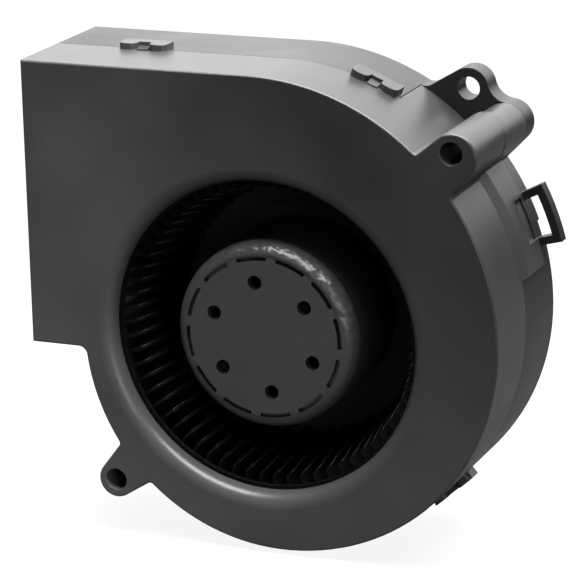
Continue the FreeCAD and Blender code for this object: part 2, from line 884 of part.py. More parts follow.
def rotor_cup():
    outer = cup_radius
    inner = cup_radius - cup_sheet
    inside_round = cup_edge_round - cup_sheet
    bend = (outer - cup_edge_round, cup_face_y + cup_edge_round)
    back = cup_face_y + cup_sheet
    edges = [
        profile_line((bush_spigot_radius, cup_face_y), (bend[0], cup_face_y)),
        profile_arc(bend, cup_edge_round, 270, 360),
        profile_line((outer, bend[1]), (outer, cup_rim_y)),
        profile_line((outer, cup_rim_y), (inner, cup_rim_y)),
        profile_line((inner, cup_rim_y), (inner, bend[1])),
        profile_arc(bend, inside_round, 360, 270),
        profile_line((bend[0], back), (bush_spigot_radius, back)),
        profile_line((bush_spigot_radius, back), (bush_spigot_radius, cup_face_y)),
    ]
    vent = rod((hub_hole_circle, 0), cup_vent_radius, cup_face_y - past, back + past)
    vents = repeated(vent, hub_hole_count, hub_hole_start_angle)
    return turned_edges(edges).cut(Part.makeCompound(vents))


def rotor_magnet():
    return tube(magnet_inner_radius, cup_radius - cup_sheet, magnet_front_y, magnet_rear_y)


def shaft_bush():
    flange_y = cup_face_y + cup_sheet
    nose_radius = shaft_radius + bush_nose_wall
    return turned([
        (shaft_radius, cup_face_y), (bush_spigot_radius, cup_face_y),
        (bush_spigot_radius, flange_y), (bush_radius, flange_y),
        (bush_radius, flange_y + bush_flange), (nose_radius, flange_y + bush_flange),
        (nose_radius, front_bearing_y), (shaft_radius, front_bearing_y),
    ])


def shaft():
    body = rod((0, 0), shaft_radius, cup_face_y, shaft_rear_y)
    groove = tube(shaft_radius - clip_ring_groove, shaft_radius + past,
                  clip_ring_y, clip_ring_y + clip_ring_thickness)
    return body.cut(groove)


def thrust_washer():
    return tube(shaft_radius, shaft_radius + washer_wall, washer_y, clip_ring_y)


def retaining_ring():
    y1 = clip_ring_y + clip_ring_thickness
    outer = shaft_radius + clip_ring_wall
    body = tube(shaft_radius - clip_ring_groove, outer, clip_ring_y, y1)
    mouth = block(0, outer + past, clip_ring_y - past, y1 + past,
                  -clip_ring_mouth / 2, clip_ring_mouth / 2)
    return body.cut(mouth)


def impeller_hub():
    bend = (hub_radius - hub_edge_round, hub_face_y + hub_edge_round)
    edges = [
        profile_line((0, hub_face_y), (bend[0], hub_face_y)),
        profile_arc(bend, hub_edge_round, 270, 360),
        profile_line((hub_radius, bend[1]), (hub_radius, disc_step_y)),
        profile_line((hub_radius, disc_step_y), (disc_step_radius, disc_step_y)),
        profile_line((disc_step_radius, disc_step_y), (disc_step_radius, disc_front_y)),
        profile_line((disc_step_radius, disc_front_y), (disc_radius, disc_front_y)),
        profile_line((disc_radius, disc_front_y), (disc_radius, disc_rear_y)),
        profile_line((disc_radius, disc_rear_y), (cup_radius, disc_rear_y)),
        profile_line((cup_radius, disc_rear_y), (cup_radius, cup_face_y + cup_edge_round)),
        profile_arc((cup_radius - cup_edge_round, cup_face_y + cup_edge_round),
                    cup_edge_round, 360, 270),
        profile_line((cup_radius - cup_edge_round, cup_face_y), (0, cup_face_y)),
        profile_line((0, cup_face_y), (0, hub_face_y)),
    ]
    body = turned_edges(edges)
    hole = rod((hub_hole_circle, 0), hub_hole_radius, hub_face_y - past, cup_face_y)
    slot = arc_slot((0, 0), hub_slot_circle, hub_slot_width, 0, hub_slot_span_angle,
                    hub_face_y - past, cup_face_y)
    cuts = repeated(hole, hub_hole_count, hub_hole_start_angle)
    cuts += repeated(slot, hub_slot_count, hub_slot_start_angle)
    return body.cut(Part.makeCompound(cuts))


def impeller_front_ring():
    # A flat ring on the blades' outer front ends, which leaves their inner part bare
    return tube(ring_outer_radius - ring_width, ring_outer_radius,
                blade_front_y - ring_thickness, blade_front_y)


def blade_taper():
    # The drum's hollow, a cone: blades are deep at the back disc and shallow at the inlet
    slope = (blade_inner_radius - blade_root_radius) / (disc_front_y - blade_front_y)
    wide = blade_inner_radius + slope * past
    narrow = blade_root_radius - slope * past
    return Part.makeCone(wide, narrow, disc_front_y - blade_front_y + 2 * past,
                         vec((0, 0), blade_front_y - past), FreeCAD.Vector(0, 1, 0))


def impeller_blades():
    # Each blade is one arc. It leans back at its root and forward, the way the
    # impeller turns, at its tip, so that its hollow side scoops the air.
    inlet = math.radians(blade_inlet_angle)
    outlet = math.radians(blade_outlet_angle)
    chord = blade_outer_radius - blade_root_radius
    bend = chord / (math.sin(outlet) - math.sin(inlet))
    bend_centre = (blade_root_radius - bend * math.sin(inlet), bend * math.cos(inlet))
    blade = ring_sector(bend_centre, bend - blade_thickness / 2, bend + blade_thickness / 2,
                        blade_inlet_angle - 90.0, blade_outlet_angle - 90.0,
                        blade_front_y, disc_front_y)
    return repeated(blade.cut(blade_taper()), blade_count)


save("front_cover", [front_cover()])
save("rear_housing", [rear_housing()])
save("motor_flange", [motor_flange()])
save("cable_grommet", [cable_grommet()])
save("motor_screws", motor_screws())
save("bearing_tube", [bearing_tube()])
save("preload_spring", [preload_spring()])
save("front_bearing_outer", [bearing_outer(front_bearing_y)])
save("rear_bearing_outer", [bearing_outer(rear_bearing_y)])
save("bearing_shields", bearing_shields(front_bearing_y) + bearing_shields(rear_bearing_y))
save("stator_core", [stator_core()])
save("front_insulator", [front_insulator()])
save("rear_insulator", [rear_insulator()])
save("stator_coils", stator_coils())
save("circuit_board", [circuit_board()])
save("driver_chips", driver_chips())
save("capacitors", capacitors())
save("hall_sensors", hall_sensors())
save("impeller_hub", [impeller_hub()])
save("impeller_blades", impeller_blades())
save("impeller_front_ring", [impeller_front_ring()])
save("rotor_cup", [rotor_cup()])
save("rotor_magnet", [rotor_magnet()])
save("shaft_bush", [shaft_bush()])
save("shaft", [shaft()])
save("thrust_washer", [thrust_washer()])
save("retaining_ring", [retaining_ring()])
save("front_bearing_inner", [bearing_inner(front_bearing_y)])
save("rear_bearing_inner", [bearing_inner(rear_bearing_y)])
save("front_bearing_balls", bearing_balls(front_bearing_y))
save("rear_bearing_balls", bearing_balls(rear_bearing_y))
save("front_bearing_cage", [bearing_cage(front_bearing_y)])
save("rear_bearing_cage", [bearing_cage(rear_bearing_y)])
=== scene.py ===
# %% [markdown]
# A dc blower fan: a scroll housing of two moulded halves, with a drum impeller
# on an outer-rotor motor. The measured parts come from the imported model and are
# never moved or changed here. This file gives them their finishes, and makes
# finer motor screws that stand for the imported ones. Everything is in metres, in
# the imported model's own frame.

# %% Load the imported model
import math

import bmesh
import bpy
from mathutils import Matrix, Vector


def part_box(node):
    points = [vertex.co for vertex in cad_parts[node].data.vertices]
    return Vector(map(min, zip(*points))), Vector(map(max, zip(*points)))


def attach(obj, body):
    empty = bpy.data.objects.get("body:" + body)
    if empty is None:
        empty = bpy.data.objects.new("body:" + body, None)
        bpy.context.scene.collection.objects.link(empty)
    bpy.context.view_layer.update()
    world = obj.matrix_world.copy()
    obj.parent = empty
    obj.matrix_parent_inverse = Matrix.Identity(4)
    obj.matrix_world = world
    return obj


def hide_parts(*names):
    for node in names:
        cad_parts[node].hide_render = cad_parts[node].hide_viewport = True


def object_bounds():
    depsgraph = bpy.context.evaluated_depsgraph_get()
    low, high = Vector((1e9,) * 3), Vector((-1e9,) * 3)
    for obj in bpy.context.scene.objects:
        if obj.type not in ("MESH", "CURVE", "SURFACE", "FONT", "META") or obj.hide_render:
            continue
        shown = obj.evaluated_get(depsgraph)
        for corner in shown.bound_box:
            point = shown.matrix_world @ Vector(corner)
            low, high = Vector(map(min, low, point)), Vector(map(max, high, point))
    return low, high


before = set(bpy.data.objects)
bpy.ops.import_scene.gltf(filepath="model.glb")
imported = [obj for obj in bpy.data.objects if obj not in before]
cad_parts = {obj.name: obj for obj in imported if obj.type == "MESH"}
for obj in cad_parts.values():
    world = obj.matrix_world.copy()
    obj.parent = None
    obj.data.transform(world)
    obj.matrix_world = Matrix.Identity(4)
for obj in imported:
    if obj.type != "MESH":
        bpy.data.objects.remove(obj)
cad_box = [list(corner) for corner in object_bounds()]
mm = 0.001
box_in_mm = [[round(v / mm, 1) for v in corner] for corner in cad_box]
print("nodes", len(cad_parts), "box in mm", box_in_mm)

# %% [markdown]
# The camera stands in front of the inlet, to the right and a little above.
# It could be moved by eye until the view looks right. Instead its place, its
# aim and its small roll were fitted to the round inlet, the six hub holes and
# the outline of both ends of the scroll, so shapes can be compared closely.
# The long lens keeps the case's edges nearly parallel.

# %% Camera
camera_place = Vector((381.33, -934.41, 297.59)) * mm
camera_aim = Vector((-0.9, -28.0, 9.7)) * mm
camera_roll = math.radians(-1.29)
photo_width_px = 577
focal_px = 3134.6

camera_data = bpy.data.cameras.new("photo_camera")
camera_data.sensor_width = 36.0
camera_data.lens = focal_px / photo_width_px * camera_data.sensor_width
camera_data.clip_start = 0.05
camera = bpy.data.objects.new("photo_camera", camera_data)
aim = (camera_aim - camera_place).to_track_quat("-Z", "Y").to_matrix().to_4x4()
camera.matrix_world = Matrix.Translation(camera_place) @ aim @ Matrix.Rotation(camera_roll, 4, "Z")
bpy.context.scene.collection.objects.link(camera)
bpy.context.scene.camera = camera
print("lens", round(camera_data.lens, 1), "mm")

# %% [markdown]
# Colours are written as hex values, as a paint chart gives them. Blender adds
# up light, so each value is turned from the screen's scale to a linear one.

# %% Colour
def linear(hex_value):
    parts = [int(hex_value[k:k + 2], 16) / 255 for k in (1, 3, 5)]
    return [c / 12.92 if c <= 0.04045 else ((c + 0.055) / 1.055) ** 2.4 for c in parts] + [1.0]


print("charcoal #2a2a2c is", [round(v, 4) for v in linear("#2a2a2c")[:3]], "in linear light")

# %% [markdown]
# A material is a tree of nodes. It could be clicked together by hand, but a
# script can be read and run again. One function adds a node with its settings
# and plugs in its inputs. Some nodes keep several inputs or outputs of one
# name, of which only one is in use, so the one in use is taken.

# %% Nodes
def plug(tree, made, inputs):
    # An input takes a plain value, an output, or a node, which gives its first output in use
    for key, value in inputs.items():
        in_use = [socket for socket in made.inputs if socket.enabled and socket.name == key]
        target = in_use[0] if in_use else made.inputs[key]
        if isinstance(value, bpy.types.Node):
            value = next(socket for socket in value.outputs if socket.enabled)
        if isinstance(value, bpy.types.NodeSocket):
            tree.links.new(value, target)
        else:
            target.default_value = value


def node(tree, kind, inputs=None, **settings):
    made = tree.nodes.new("ShaderNode" + kind)
    for name, value in settings.items():
        setattr(made, name, value)
    plug(tree, made, inputs or {})
    return made


def new_material(name, **surface):
    material = bpy.data.materials.new(name)
    material.use_nodes = True
    tree = material.node_tree
    shader = tree.nodes["Principled BSDF"]
    plug(tree, shader, {key.replace("_", " "): value for key, value in surface.items()})
    return material, tree, shader


# %% [markdown]
# The studio is a pale floor and a white surround. Both could simply be lit
# until they are white, but then the black plastic would mirror them and turn
# grey. So the camera alone sees them glow, and the light that reaches the
# object from them is much dimmer.

# %% Floor
floor_half = 2.5
floor_gap = 0.2 * mm
white_light = (1, 1, 1, 1)
floor_mesh = bpy.data.meshes.new("floor")
corners = [(x * floor_half, y * floor_half, 0) for x, y in ((-1, -1), (1, -1), (1, 1), (-1, 1))]
floor_mesh.from_pydata(corners, [], [(0, 1, 2, 3)])
floor = bpy.data.objects.new("floor", floor_mesh)
floor.location.z = cad_box[0][2] - floor_gap
bpy.context.scene.collection.objects.link(floor)

floor_paper, tree, shader = new_material("floor_paper", Roughness=0.9, Base_Color=linear("#444444"))
path = node(tree, "LightPath")
glow = node(tree, "Emission", {"Color": white_light, "Strength": 0.9})
glowing = node(tree, "AddShader", {0: shader, 1: glow})
seen = node(tree, "MixShader", {0: path.outputs["Is Camera Ray"], 1: shader, 2: glowing})
plug(tree, tree.nodes["Material Output"], {"Surface": seen})
floor_mesh.materials.append(floor_paper)
print("floor at", round(floor.location.z / mm, 1), "mm")

# %% Surround
world = bpy.data.worlds.new("surround")
bpy.context.scene.world = world
world.use_nodes = True
tree = world.node_tree
tree.nodes.clear()
path = node(tree, "LightPath")
fill = node(tree, "Background", {"Color": white_light, "Strength": 0.1})
white = node(tree, "Background", {"Color": white_light, "Strength": 1.0})
mixed = node(tree, "MixShader", {0: path.outputs["Is Camera Ray"], 1: fill, 2: white})
node(tree, "OutputWorld", {"Surface": mixed})
bpy.context.scene.view_settings.view_transform = "Standard"
print("surround", len(tree.nodes), "nodes")

# %% [markdown]
# Lamps could be placed by trial alone. Here their places were first read from
# highlights, and then tuned by trial. The bright crescent on the lower left of
# the inlet's lip and the patches on the hub's upper rim both mirror one deep
# panel overhead. The top wall mirrors a wide lamp low behind the fan, so black
# plastic looks pale grey there. A weak lamp in front, to the right, carries the
# crescent on up the left side and reaches the blades.

# %% Lamps
def softbox(name, place, aim_at, size, watts):
    light = bpy.data.lights.new(name, "AREA")
    light.shape = "RECTANGLE"
    light.size, light.size_y = size
    light.energy = watts
    lamp = bpy.data.objects.new(name, light)
    lamp.location = place
    lamp.rotation_euler = (Vector(aim_at) - Vector(place)).to_track_quat("-Z", "Y").to_euler()
    bpy.context.scene.collection.objects.link(lamp)


softbox("overhead", place=(0.12, 0.0, 0.6), aim_at=(0.12, 0, 0), size=(0.7, 0.7), watts=26.0)
softbox("front_right", place=(0.72, -0.66, 0.18), aim_at=(0, 0, 0), size=(0.5, 0.4), watts=2.0)
softbox("behind", place=(0.0, 0.9, 0.43), aim_at=(0, 0, 0.03), size=(1.3, 0.56), watts=5.6)

# %% [markdown]
# A pattern could be a picture that is wrapped round the piece, but that
# stretches on curved shapes. These patterns start from the object's own
# coordinates, so they keep their real size and turn with the piece. A noise
# texture has about one blob per unit, and one unit here is a metre, so a size
# in millimetres is turned into a scale. Most of a noise's values lie between
# 0.3 and 0.7, and a map range node spreads them to the two values that are
# wanted. Where it makes a mask, From Min is where the mask is 0 and From Max
# where it is 1.

# %% Pattern sizes and the distance from the axis
noise_values = {"From Min": 0.3, "From Max": 0.7}


def scale_for(size_mm):
    return 1.0 / (size_mm * mm)


def axis_distance(tree, place):
    split = node(tree, "SeparateXYZ", {"Vector": place})
    flat = node(tree, "CombineXYZ", {"X": split.outputs["X"], "Z": split.outputs["Z"]})
    return node(tree, "VectorMath", {0: flat}, operation="LENGTH")


print("blobs of 1 mm need the scale", round(scale_for(1.0)))

# %% [markdown]
# Handled black plastic is worn a touch paler on its corners. The corners could
# be rounded in the mesh, but that would change the measured shape. A bevel node
# gives the normal that a rounded corner would have. Where it turns away from
# the flat one there is a corner, and it softens the corner's shading as well.

# %% Worn corners
corner_radius_mm = 0.35
facing_off_corner = 0.985
facing_on_corner = 0.86


# The same corner mask gives the housing real wear and the impeller's blades a painted highlight
def corner_wear_and_highlight(tree):
    rounded = node(tree, "Bevel", {"Radius": corner_radius_mm * mm}, samples=4)
    flat = node(tree, "NewGeometry").outputs["Normal"]
    facing = node(tree, "VectorMath", {0: rounded, 1: flat}, operation="DOT_PRODUCT")
    corner = node(tree, "MapRange", {"Value": facing, "From Min": facing_off_corner,
                                     "From Max": facing_on_corner})
    return rounded, corner


print("corners", corner_radius_mm, "mm")

# %% [markdown]
# The housing is taken as glass-filled polyamide, moulded in a spark-eroded
# tool. The eye sees a charcoal skin with a fine even grain and a wide dull
# sheen, a little patchy where the melt flowed. A plain grey with one roughness
# would look like a toy. Such grit is about 0.15 mm; it is drawn at 0.35 mm,
# because finer than that it wouldn't show. Two more things are drawn because
# the photo shows them. The inlet's mouth is smoother, since its highlight is
# sharp and even, and the cause of that is a guess. And painted light makes the
# colour grow paler towards the outlet side and the foot.

# %% Moulded plastic
grit_mm = 0.35
flow_mm = 34
# Painted light: the direction and range along which the colour is painted paler
painted_light_direction = (-0.7, 0.0, -0.7)
painted_light_from_mm, painted_light_to_mm = -68, 95
mouth_inside_mm, mouth_outside_mm = 60, 65
mouth_roughness = 0.31
worn_share = 0.5


def moulded_plastic(name, colour, edge_colour, roughness):
    material, tree, shader = new_material(name, IOR=1.5)
    place = node(tree, "TexCoord").outputs["Object"]
    flow = node(tree, "TexNoise", {"Vector": place, "Scale": scale_for(flow_mm), "Detail": 6.0})
    grit = node(tree, "TexNoise", {"Vector": place, "Scale": scale_for(grit_mm)})
    cloud = node(tree, "MapRange", {"Value": flow, **noise_values, "To Min": 0.8, "To Max": 1.2})
    speck = node(tree, "MapRange", {"Value": grit, **noise_values, "To Min": 0.9, "To Max": 1.1})
    # Painted light: along this direction the colour is scaled from 0.5 to 2.2, paler towards the
    # outlet side and the foot
    along = node(tree, "VectorMath", {0: place, 1: painted_light_direction}, operation="DOT_PRODUCT")
    painted_light_scale = node(tree, "MapRange", {"Value": along, "From Min": painted_light_from_mm * mm,
                                   "From Max": painted_light_to_mm * mm, "To Min": 0.5, "To Max": 2.2})
    patches = node(tree, "Math", {0: cloud, 1: speck}, operation="MULTIPLY")
    patches = node(tree, "Math", {0: patches, 1: painted_light_scale}, operation="MULTIPLY")
    skin = node(tree, "VectorMath", {0: linear(colour)[:3], "Scale": patches}, operation="SCALE")
    rounded, corner = corner_wear_and_highlight(tree)
    worn = node(tree, "Math", {0: corner, 1: worn_share}, operation="MULTIPLY")
    skin = node(tree, "Mix", {"Factor": worn, "A": skin, "B": linear(edge_colour)},
                data_type="RGBA")
    dull = node(tree, "MapRange", {"Value": flow, **noise_values, "To Min": roughness - 0.05,
                                   "To Max": roughness + 0.05})
    mouth = node(tree, "MapRange", {"Value": axis_distance(tree, place),
                                    "From Min": mouth_outside_mm * mm,
                                    "From Max": mouth_inside_mm * mm})
    sheen = node(tree, "Mix", {"Factor": mouth, "A": dull, "B": mouth_roughness})
    surface = node(tree, "Bump", {"Strength": 0.5, "Distance": 0.03 * mm, "Height": grit,
                                  "Normal": rounded})
    plug(tree, shader, {"Base Color": skin, "Roughness": sheen, "Normal": surface})
    return material


cover_material = moulded_plastic("moulded_polyamide_cover", "#38383a", "#5c5c5e", 0.38)
housing_material = moulded_plastic("moulded_polyamide_housing", "#1b1b1d", "#444446", 0.4)
print("housing plastic", len(cover_material.node_tree.nodes), "nodes")

# %% [markdown]
# The impeller is moulded polyamide too. It is nearly black in the photo, and
# only thin lines show along the front part of the blades' inner edges. Lamps
# alone could draw those lines, but they would light the blades' sides as well.
# So a painted highlight makes the edges paler along their front part, fading out
# deeper in where shade falls, and the plastic mirrors less than usual. The front
# ring and all that lies deeper stays black.

# %% Impeller plastic
highlight_from_mm = -44.0
highlight_to_mm = -31.0
edges_within_mm = 49.6
ring_beyond_mm = 50.6


def impeller_plastic(name, colour, dark_colour, roughness):
    material, tree, shader = new_material(name, IOR=1.48, Specular_IOR_Level=0.08)
    place = node(tree, "TexCoord").outputs["Object"]
    depth = node(tree, "SeparateXYZ", {"Vector": place}).outputs["Y"]
    behind_ring = node(tree, "MapRange", {"Value": depth, "From Min": (highlight_from_mm - 1) * mm,
                                          "From Max": highlight_from_mm * mm})
    before_deep = node(tree, "MapRange", {"Value": depth, "From Min": highlight_to_mm * mm,
                                          "From Max": highlight_from_mm * mm})
    inner = node(tree, "MapRange", {"Value": axis_distance(tree, place),
                                    "From Min": ring_beyond_mm * mm,
                                    "From Max": edges_within_mm * mm})
    # Painted highlight: the corner mask, kept to the front part of the inner edges, takes the pale
    # colour
    rounded, painted_edge_highlight = corner_wear_and_highlight(tree)
    for mask in (behind_ring, before_deep, inner):
        painted_edge_highlight = node(tree, "Math", {0: painted_edge_highlight, 1: mask}, operation="MULTIPLY")
    patch = node(tree, "TexNoise", {"Vector": place, "Scale": scale_for(6.0), "Detail": 3.0})
    patch = node(tree, "MapRange", {"Value": patch, **noise_values, "To Min": 0.8, "To Max": 1.2})
    dark = node(tree, "VectorMath", {0: linear(dark_colour)[:3], "Scale": patch}, operation="SCALE")
    skin = node(tree, "Mix", {"Factor": painted_edge_highlight, "A": dark, "B": linear(colour)}, data_type="RGBA")
    grit = node(tree, "TexNoise", {"Vector": place, "Scale": scale_for(grit_mm)})
    dull = node(tree, "MapRange", {"Value": grit, **noise_values, "To Min": roughness - 0.04,
                                   "To Max": roughness + 0.04})
    surface = node(tree, "Bump", {"Strength": 0.4, "Distance": 0.02 * mm, "Height": grit,
                                  "Normal": rounded})
    plug(tree, shader, {"Base Color": skin, "Roughness": dull, "Normal": surface})
    return material


# 7e7e81 is the painted highlight on the blade edges, #0c0c0d the plastic's black
impeller_material = impeller_plastic("moulded_polyamide_impeller", "#7e7e81", "#0c0c0d", 0.62)
print("blade edges paler from", highlight_from_mm, "to", highlight_to_mm, "mm")

# %% [markdown]
# The hub is moulded in one piece with the drum's back disc. Its flat face is
# satin. In the photo its rim is glossy on the upper side, and the highlight
# there breaks up into bright patches. The lumps could be modelled, but their
# shape can't be read, so they are bump on a smoother rim, on the side that is
# up at rest. They turn with the hub. Behind the rim, and on the walls of its
# holes and slots, painted shade makes the hub nearly as black as the blades.

# %% Hub plastic
rim_from_axis_mm = 26.6
rim_width_mm = 1.2
rim_back_mm = -44.0
rim_roughness, face_roughness, back_roughness = 0.3, 0.4, 0.75
faces_inlet, faces_aside = -0.6, -0.3
upward_direction = (0.4, 0.0, 0.9)
lumps_from_mm, lumps_to_mm = 6, 20
lump_mm = 5.0
lump_height_mm = 1.6


def hub_plastic(name, colour, dark_colour):
    material, tree, shader = new_material(name, IOR=1.5)
    place = node(tree, "TexCoord").outputs["Object"]
    depth = node(tree, "SeparateXYZ", {"Vector": place}).outputs["Y"]
    distance = axis_distance(tree, place)
    rim_starts = rim_from_axis_mm * mm
    rim_full = (rim_from_axis_mm + rim_width_mm) * mm
    front = node(tree, "MapRange", {"Value": depth, "From Min": rim_back_mm * mm,
                                    "From Max": (rim_back_mm - 2) * mm})
    outer = node(tree, "MapRange", {"Value": distance, "From Min": rim_starts,
                                    "From Max": rim_full})
    within = node(tree, "MapRange", {"Value": distance, "From Min": rim_full,
                                     "From Max": rim_starts})
    rim = node(tree, "Math", {0: front, 1: outer}, operation="MULTIPLY")

    # Painted shade: the walls of holes and slots lie within the rim, don't face the inlet, and take
    # the dark colour
    facing = node(tree, "SeparateXYZ", {"Vector": node(tree, "NewGeometry").outputs["True Normal"]})
    sideways = node(tree, "MapRange", {"Value": facing.outputs["Y"], "From Min": faces_inlet,
                                       "From Max": faces_aside})
    painted_hole_shade = node(tree, "Math", {0: within, 1: sideways}, operation="MULTIPLY")

    lumps = node(tree, "TexNoise", {"Vector": place, "Scale": scale_for(lump_mm)})
    soft = node(tree, "MapRange", {"Value": lumps, **noise_values, "To Min": 0.94, "To Max": 1.06})
    strong = node(tree, "MapRange", {"Value": lumps, **noise_values, "To Min": 0.85,
                                     "To Max": 1.15})
    face = node(tree, "VectorMath", {0: linear(colour)[:3], "Scale": soft}, operation="SCALE")
    face = node(tree, "Mix", {"Factor": painted_hole_shade, "A": face, "B": linear(dark_colour)},
                data_type="RGBA")
    # Painted shade: behind the rim the hub takes the dark colour, with a patchy tone
    back = node(tree, "VectorMath", {0: linear(dark_colour)[:3], "Scale": strong},
                operation="SCALE")
    skin = node(tree, "Mix", {"Factor": front, "A": back, "B": face}, data_type="RGBA")
    satin = node(tree, "MapRange", {"Value": front, "To Min": back_roughness,
                                    "To Max": face_roughness})
    sheen = node(tree, "Mix", {"Factor": rim, "A": satin, "B": rim_roughness})

    up = node(tree, "VectorMath", {0: place, 1: upward_direction}, operation="DOT_PRODUCT")
    up = node(tree, "MapRange", {"Value": up, "From Min": lumps_from_mm * mm,
                                 "From Max": lumps_to_mm * mm})
    for mask in (rim, up):
        lumps = node(tree, "Math", {0: lumps, 1: mask}, operation="MULTIPLY")
    grit = node(tree, "TexNoise", {"Vector": place, "Scale": scale_for(grit_mm)})
    fine = node(tree, "Bump", {"Strength": 0.4, "Distance": 0.02 * mm, "Height": grit})
    surface = node(tree, "Bump", {"Strength": 0.8, "Distance": lump_height_mm * mm,
                                  "Height": lumps, "Normal": fine})
    plug(tree, shader, {"Base Color": skin, "Roughness": sheen, "Normal": surface})
    return material


# 121213 is the painted shade behind the rim and in the holes and slots
hub_material = hub_plastic("moulded_polyamide_hub", "#3a3a3c", "#121213")
print("hub rim from", rim_from_axis_mm, "mm off the axis")

# %% [markdown]
# The flange, the cup, the shaft and the bearings are metals. A plain grey with
# a mirror's shine would do from afar. Each gets a fine pattern of the way it
# was made instead: rolled or drawn metal has streaks, which are noise that is
# stretched along one axis, cast metal has pits, and turned metal has rings
# round the axis, which are the sine of the distance from it. A lathe's rings
# are some 0.2 mm apart; they are drawn at 0.8 mm, or they wouldn't show.

# %% Metals
def metal(name, colour, roughness, streak_mm, height_mm, turned_mm=0):
    material, tree, shader = new_material(name, Metallic=1.0)
    place = node(tree, "TexCoord").outputs["Object"]
    stretch = [scale_for(size) for size in streak_mm]
    stretched = node(tree, "VectorMath", {0: place, 1: stretch}, operation="MULTIPLY")
    streaks = node(tree, "TexNoise", {"Vector": stretched, "Scale": 1.0, "Detail": 3.0})
    shade = node(tree, "MapRange", {"Value": streaks, **noise_values, "To Min": 0.85,
                                    "To Max": 1.1})
    skin = node(tree, "VectorMath", {0: linear(colour)[:3], "Scale": shade}, operation="SCALE")
    sheen = node(tree, "MapRange", {"Value": streaks, **noise_values, "To Min": roughness - 0.06,
                                    "To Max": roughness + 0.08})
    surface = node(tree, "Bump", {"Strength": 0.5, "Distance": height_mm * mm, "Height": streaks})
    if turned_mm:
        per_metre = 2 * math.pi * scale_for(turned_mm)
        turns = node(tree, "Math", {0: axis_distance(tree, place), 1: per_metre},
                     operation="MULTIPLY")
        rings = node(tree, "Math", {0: turns}, operation="SINE")
        surface = node(tree, "Bump", {"Strength": 0.7, "Distance": 0.02 * mm, "Height": rings,
                                      "Normal": surface})
    plug(tree, shader, {"Base Color": skin, "Roughness": sheen, "Normal": surface})
    return material


cast_alloy = metal("turned_die_cast_aluminium", "#9a9a9c", 0.36, (1.1, 1.1, 1.1), 0.03,
                   turned_mm=0.8)
drawn_steel = metal("phosphated_drawn_steel", "#5a5a5c", 0.34, (0.8, 6.0, 0.8), 0.01)
bearing_steel = metal("ground_bearing_steel", "#b9b9bb", 0.16, (4.0, 0.15, 4.0), 0.003)
turned_brass = metal("turned_brass", "#b69a5a", 0.24, (3.0, 0.2, 3.0), 0.006)
laminated_steel = metal("laminated_electrical_steel", "#7d7d80", 0.4, (5.0, 0.5, 5.0), 0.03)
zinc_steel = metal("zinc_plated_steel", "#b4b4b2", 0.28, (0.5, 0.5, 0.5), 0.008)
can_alloy = metal("drawn_aluminium_can", "#a9a9ab", 0.3, (2.0, 0.3, 2.0), 0.004)
print("materials so far", len(bpy.data.materials))

# %% [markdown]
# The coils are enamelled copper wire, wound side by side. Each turn could be a
# curve of its own, but the motor is closed in, so each coil stays one solid and
# its wires are ribs in the bump, glossy and a little uneven.

# %% Wound wire
wire_mm = 0.45


def wound_wire(name, colour):
    material, tree, shader = new_material(name, Metallic=0.85, Roughness=0.28)
    place = node(tree, "TexCoord").outputs["Object"]
    per_metre = 2 * math.pi * scale_for(wire_mm)
    turns = node(tree, "Math", {0: axis_distance(tree, place), 1: per_metre},
                 operation="MULTIPLY")
    ribs = node(tree, "Math", {0: turns}, operation="SINE")
    patch = node(tree, "TexNoise", {"Vector": place, "Scale": scale_for(2.5)})
    shade = node(tree, "MapRange", {"Value": patch, **noise_values, "To Min": 0.8, "To Max": 1.15})
    skin = node(tree, "VectorMath", {0: linear(colour)[:3], "Scale": shade}, operation="SCALE")
    surface = node(tree, "Bump", {"Strength": 0.9, "Distance": 0.15 * mm, "Height": ribs})
    plug(tree, shader, {"Base Color": skin, "Normal": surface})
    return material


copper_wire = wound_wire("enamelled_copper_wire", "#8a4a24")
print("copper wire", wire_mm, "mm thick")

# %% [markdown]
# The insulators, cages and washer are taken as unfilled plastics, the chips as
# epoxy, the magnet as sintered ferrite and the grommet as rubber. Each could
# have a recipe of its own, but all look even and slightly patchy, so one
# serves, with another colour, sheen and patch size for each.

# %% Plain mouldings
def plain_moulding(name, colour, roughness, patch_mm=2.0, height_mm=0.02):
    material, tree, shader = new_material(name)
    place = node(tree, "TexCoord").outputs["Object"]
    patch = node(tree, "TexNoise", {"Vector": place, "Scale": scale_for(patch_mm), "Detail": 4.0})
    shade = node(tree, "MapRange", {"Value": patch, **noise_values, "To Min": 0.86, "To Max": 1.12})
    skin = node(tree, "VectorMath", {0: linear(colour)[:3], "Scale": shade}, operation="SCALE")
    sheen = node(tree, "MapRange", {"Value": patch, **noise_values, "To Min": roughness - 0.06,
                                    "To Max": roughness + 0.06})
    surface = node(tree, "Bump", {"Strength": 0.5, "Distance": height_mm * mm, "Height": patch})
    plug(tree, shader, {"Base Color": skin, "Roughness": sheen, "Normal": surface})
    return material


insulator_nylon = plain_moulding("moulded_white_nylon", "#d8d5c8", 0.42)
cage_nylon = plain_moulding("moulded_cage_nylon", "#cbb98d", 0.4, 1.2)
washer_acetal = plain_moulding("moulded_acetal", "#e4e3de", 0.36, 1.5)
chip_epoxy = plain_moulding("moulded_chip_epoxy", "#1b1b1d", 0.5, 0.5)
magnet_ferrite = plain_moulding("sintered_ferrite", "#2c2c30", 0.62, 0.6, 0.05)
grommet_rubber = plain_moulding("moulded_nitrile_rubber", "#171718", 0.62, 0.7, 0.03)
print("materials so far", len(bpy.data.materials))

# %% [markdown]
# The circuit board is taken as laminate with copper tracks under green varnish.
# Tracks could be drawn as curves, but the board is hidden, so the borders
# between the cells of a Voronoi texture stand for them, a little paler.

# %% Circuit board
island_mm = 3.0
track_starts = 0.34


